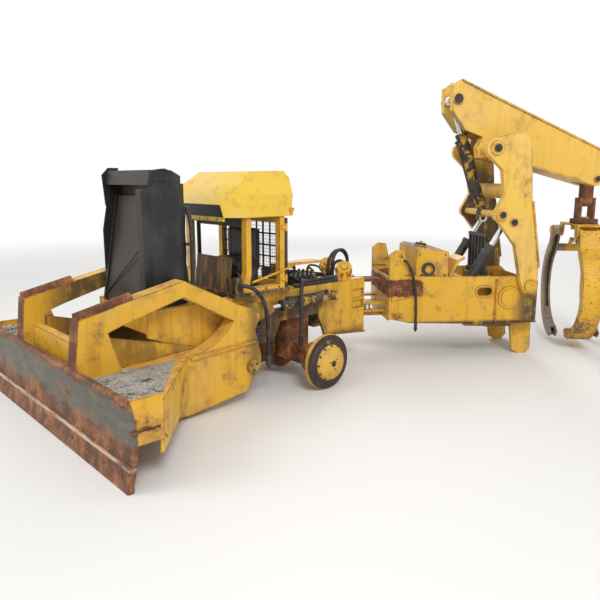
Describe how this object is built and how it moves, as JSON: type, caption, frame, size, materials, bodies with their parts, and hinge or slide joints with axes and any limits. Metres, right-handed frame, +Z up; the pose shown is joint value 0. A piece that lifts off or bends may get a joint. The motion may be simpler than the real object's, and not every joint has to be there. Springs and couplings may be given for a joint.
{
  "type": "articulated grapple skidder",
  "caption": "Worn articulated grapple skidder stripped of its wheels and engine, with a front blade, open cab, rear arch, boom and hanging grapple.",
  "frame": {"origin": "centre of the bounding box's footprint, on the ground", "axes": "+X forward along the front frame, +Y to the machine's left, +Z up"},
  "size_m": [6.3146, 3.5062, 2.96],
  "materials": {
    "yellow_paint": "worn gloss",
    "faded_paint": "chalky",
    "rusty_steel": "rusty",
    "dark_steel": "dirty matt",
    "rod_chrome": "bright",
    "hose_rubber": "dusty",
    "seat_cover": "matt"
  },
  "bodies": {
    "front": {"front_frame": "yellow_paint", "hinge_pins": "dark_steel", "step_block": "dark_steel", "axle_housing": "rusty_steel", "radiator_core": "dark_steel", "radiator_guard": "rusty_steel", "cab_floor": "dark_steel", "cab_posts": "yellow_paint", "cab_roof": "faded_paint", "cab_screens": "dark_steel", "operator_seat": "seat_cover", "control_valves": "dark_steel", "transmission_case": "dark_steel", "deck_bracket": "yellow_paint", "deck_beam": "dark_steel", "round_drums": "yellow_paint", "stack_pipe": "dark_steel", "deck_hoses": "hose_rubber", "hose_front": "hose_rubber", "hose_middle": "hose_rubber"},
    "hub_left": {"hub_left": "yellow_paint"},
    "hub_right": {"hub_right": "yellow_paint"},
    "blade": {"moldboard": "rusty_steel", "blade_box": "yellow_paint", "arm_left": "yellow_paint", "arm_right": "yellow_paint"},
    "lift_barrels": {"lift_barrels": "yellow_paint"},
    "lift_rods": {"lift_rods": "rod_chrome"},
    "steer_barrel_left": {"steer_barrel_left": "yellow_paint"},
    "steer_rod_left": {"steer_rod_left": "rod_chrome"},
    "steer_barrel_right": {"steer_barrel_right": "yellow_paint"},
    "steer_rod_right": {"steer_rod_right": "rod_chrome"},
    "rear": {"rear_frame": "yellow_paint", "rear_tank": "yellow_paint", "rear_cover": "yellow_paint", "fairlead_guard": "dark_steel", "skid_plates": "yellow_paint", "hose_rear": "hose_rubber"},
    "arch": {"arch": "faded_paint"},
    "arch_barrels": {"arch_barrels": "dark_steel"},
    "arch_rods": {"arch_rods": "rod_chrome"},
    "boom": {"boom": "faded_paint"},
    "boom_barrel": {"boom_barrel": "yellow_paint"},
    "boom_rod": {"boom_rod": "rod_chrome"},
    "swing_link": {"swing_link": "rusty_steel"},
    "yoke": {"yoke": "rusty_steel"},
    "grapple": {"grapple_head": "yellow_paint"},
    "tong_left": {"tong_left": "yellow_paint"},
    "tong_right": {"tong_right": "yellow_paint"},
    "tong_barrel": {"tong_barrel": "dark_steel"},
    "tong_rod": {"tong_rod": "rod_chrome"}
  },
  "joints": [
    {"name": "hub_left_turn", "type": "hinge", "parent": "front", "child": "hub_left", "pos_m": [0.834, 0.397, 0.26], "axis": [0, 1, 0], "continuous": true},
    {"name": "hub_right_turn", "type": "hinge", "parent": "front", "child": "hub_right", "pos_m": [0.834, -1.103, 0.26], "axis": [0, 1, 0], "continuous": true},
    {"name": "blade_lift", "type": "hinge", "parent": "front", "child": "blade", "pos_m": [1.564, -0.353, 0.33], "axis": [0, -1, 0], "range_deg": [-30, 8]},
    {"name": "lift_barrel_turn", "type": "hinge", "parent": "front", "child": "lift_barrels", "pos_m": [0.444, -0.353, 0.795], "axis": [0, -1, 0], "range_deg": [-2.3, 6]},
    {"name": "lift_rod_slide", "type": "slide", "parent": "lift_barrels", "child": "lift_rods", "axis": [0.9999, 0, -0.0116], "range_m": [-0.079, 0.269]},
    {"name": "steering", "type": "hinge", "parent": "front", "child": "rear", "pos_m": [-0.236, -0.353, 0.63], "axis": [0, 0, 1], "range_deg": [-9, 81]},
    {"name": "steer_barrel_left_turn", "type": "hinge", "parent": "front", "child": "steer_barrel_left", "pos_m": [0.564, -0.073, 0.56], "axis": [0, 0, 1], "range_deg": [-2.5, 14.2]},
    {"name": "steer_rod_left_slide", "type": "slide", "parent": "steer_barrel_left", "child": "steer_rod_left", "axis": [-0.9988, 0.0488, 0], "range_m": [-0.051, 0.378]},
    {"name": "steer_barrel_right_turn", "type": "hinge", "parent": "front", "child": "steer_barrel_right", "pos_m": [0.564, -0.633, 0.56], "axis": [0, 0, 1], "range_deg": [-2.7, 16.6]},
    {"name": "steer_rod_right_slide", "type": "slide", "parent": "steer_barrel_right", "child": "steer_rod_right", "axis": [-0.9848, 0.1735, 0], "range_m": [-0.339, 0.047]},
    {"name": "arch_lean", "type": "hinge", "parent": "rear", "child": "arch", "pos_m": [-1.7974, 0.78143, 0.8], "axis": [0.5878, 0.809, 0], "range_deg": [-30, 3]},
    {"name": "arch_barrel_turn", "type": "hinge", "parent": "rear", "child": "arch_barrels", "pos_m": [-1.19064, 0.34059, 0.62], "axis": [0.5878, 0.809, 0], "range_deg": [-15, 2.4]},
    {"name": "arch_rod_slide", "type": "slide", "parent": "arch_barrels", "child": "arch_rods", "axis": [-0.4186, 0.3041, 0.8557], "range_m": [-0.036, 0.269]},
    {"name": "boom_raise", "type": "hinge", "parent": "arch", "child": "boom", "pos_m": [-1.42525, 0.51104, 2.24], "axis": [0.5878, 0.809, 0], "range_deg": [-12, 15]},
    {"name": "boom_barrel_turn", "type": "hinge", "parent": "arch", "child": "boom_barrel", "pos_m": [-1.49807, 0.56394, 1.56], "axis": [0.5878, 0.809, 0], "range_deg": [-6.6, 8]},
    {"name": "boom_rod_slide", "type": "slide", "parent": "boom_barrel", "child": "boom_rod", "axis": [0.2616, -0.19, 0.9463], "range_m": [-0.048, 0.041]},
    {"name": "link_swing", "type": "hinge", "parent": "boom", "child": "swing_link", "pos_m": [-2.48507, 1.28104, 1.93], "axis": [-0.5878, -0.809, 0], "range_deg": [-60, 8]},
    {"name": "yoke_swing", "type": "hinge", "parent": "swing_link", "child": "yoke", "pos_m": [-2.48507, 1.28104, 1.67], "axis": [0.809, -0.5878, 0], "range_deg": [-20, 20]},
    {"name": "grapple_turn", "type": "hinge", "parent": "yoke", "child": "grapple", "pos_m": [-2.48507, 1.28104, 1.45], "axis": [0, 0, 1], "continuous": true},
    {"name": "tong_left_close", "type": "hinge", "parent": "grapple", "child": "tong_left", "pos_m": [-2.30383, 1.42264, 1.33], "axis": [-0.6157, 0.788, 0], "range_deg": [-55, 0]},
    {"name": "tong_right_close", "type": "hinge", "parent": "grapple", "child": "tong_right", "pos_m": [-2.66631, 1.13944, 1.33], "axis": [-0.6157, 0.788, 0], "range_deg": [0, 55]},
    {"name": "tong_barrel_turn", "type": "hinge", "parent": "tong_left", "child": "tong_barrel", "pos_m": [-2.27231, 1.44727, 1.21], "axis": [-0.6157, 0.788, 0], "range_deg": [-1, 56]},
    {"name": "tong_rod_slide", "type": "slide", "parent": "tong_barrel", "child": "tong_rod", "axis": [-0.788, -0.6157, 0], "range_m": [-0.01, 0.193]}
  ],
  "couplings": [
    {"joint": "lift_barrel_turn", "follows": "blade_lift", "ratio": -0.1656},
    {"joint": "lift_rod_slide", "follows": "blade_lift", "m_per_rad": -0.4951},
    {"joint": "steer_barrel_left_turn", "follows": "steering", "ratio": 0.1624},
    {"joint": "steer_rod_left_slide", "follows": "steering", "m_per_rad": 0.2605},
    {"joint": "steer_barrel_right_turn", "follows": "steering", "ratio": 0.193},
    {"joint": "steer_rod_right_slide", "follows": "steering", "m_per_rad": -0.2329},
    {"joint": "arch_barrel_turn", "follows": "arch_lean", "ratio": 0.4672},
    {"joint": "arch_rod_slide", "follows": "arch_lean", "m_per_rad": -0.4953},
    {"joint": "boom_barrel_turn", "follows": "boom_raise", "ratio": 0.4693},
    {"joint": "boom_rod_slide", "follows": "boom_raise", "m_per_rad": -0.1466},
    {"joint": "tong_right_close", "follows": "tong_left_close", "ratio": -1},
    {"joint": "tong_barrel_turn", "follows": "tong_left_close", "ratio": -1},
    {"joint": "tong_rod_slide", "follows": "tong_left_close", "m_per_rad": -0.1904}
  ]
}
